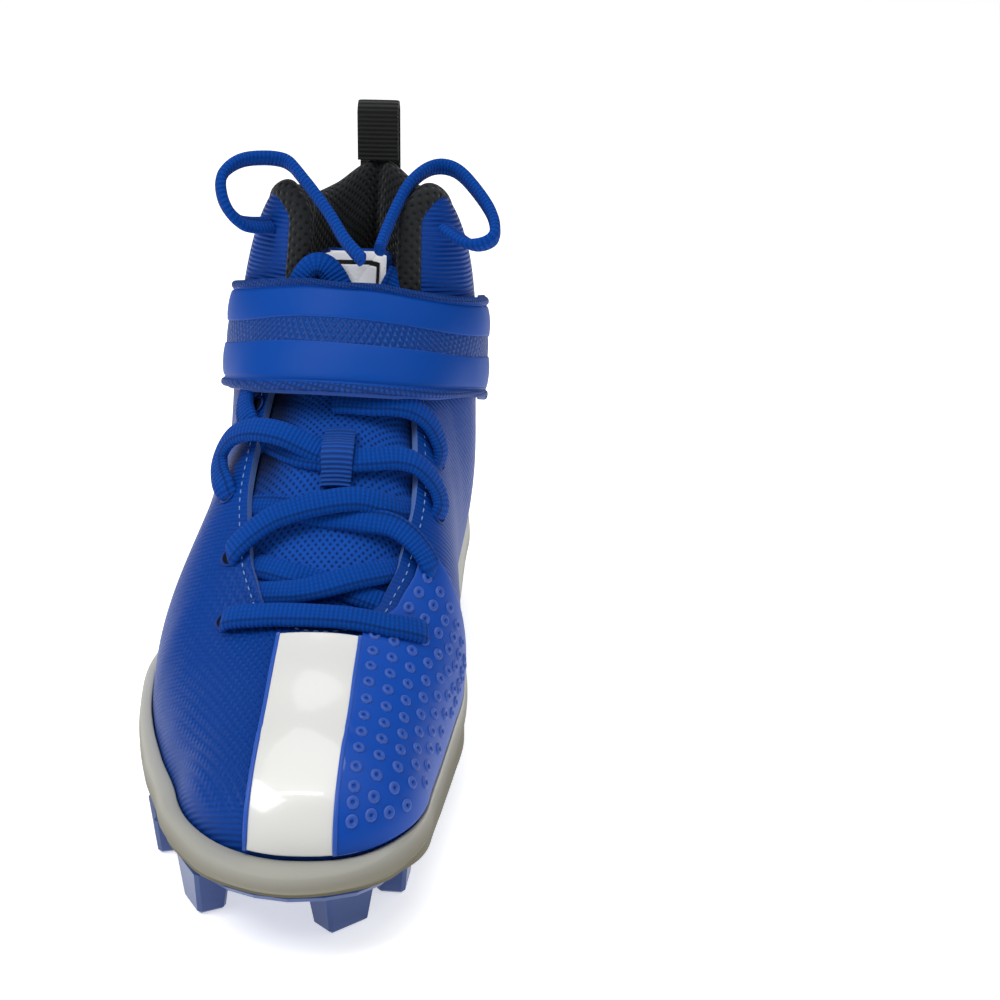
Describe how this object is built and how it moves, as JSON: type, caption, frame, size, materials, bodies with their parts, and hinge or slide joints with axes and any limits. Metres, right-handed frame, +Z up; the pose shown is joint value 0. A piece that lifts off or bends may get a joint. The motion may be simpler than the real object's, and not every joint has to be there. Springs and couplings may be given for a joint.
{
  "type": "baseball cleat",
  "caption": "Mid-top baseball cleat for the right foot: moulded studded sole, laced hollow upper, ankle strap, padded collar and heel pull loop.",
  "frame": {"origin": "on the floor, under the middle of the shoe's box measured without the free lace loops", "axes": "+Z up from the stud tips, -Y towards the toe, +Y towards the heel, -X towards the lateral side and +X towards the medial side"},
  "size_m": [0.1109, 0.3014, 0.1872],
  "materials": {
    "outsole_rubber": "moulded, slightly translucent slate blue, satin",
    "midsole_foam": "moulded cream foam, matt",
    "counter_moulding": "moulded cream, satin",
    "upper_synthetic": "royal blue synthetic leather with a fine knurl, satin",
    "grip_panel": "royal blue moulded grip rings, satin",
    "white_patent": "glossy white film",
    "collar_mesh": "black padded mesh",
    "tongue_mesh": "blue padded mesh",
    "label": "plain white woven label",
    "keeper_webbing": "blue ribbed webbing",
    "insole_foam": "blue cloth-covered foam",
    "strap_moulding": "royal blue moulded strap with stepped bands, satin",
    "loop_webbing": "black ribbed webbing",
    "lace": "royal blue woven flat lace"
  },
  "bodies": {
    "root": {"outsole": "outsole_rubber", "midsole": "midsole_foam", "heel_counter": "counter_moulding", "upper": "upper_synthetic", "toe_panel": "grip_panel", "vamp_stripe": "white_patent", "collar_lining": "collar_mesh", "tongue": "tongue_mesh", "tongue_label": "label", "lace_keeper": "keeper_webbing", "insole": "insole_foam", "ankle_strap": "strap_moulding", "pull_loop": "loop_webbing", "lace_bar": "lace", "lace_cross_1": "lace", "lace_cross_2": "lace", "lace_loop_lateral": "lace", "lace_loop_medial": "lace"}
  },
  "joints": []
}
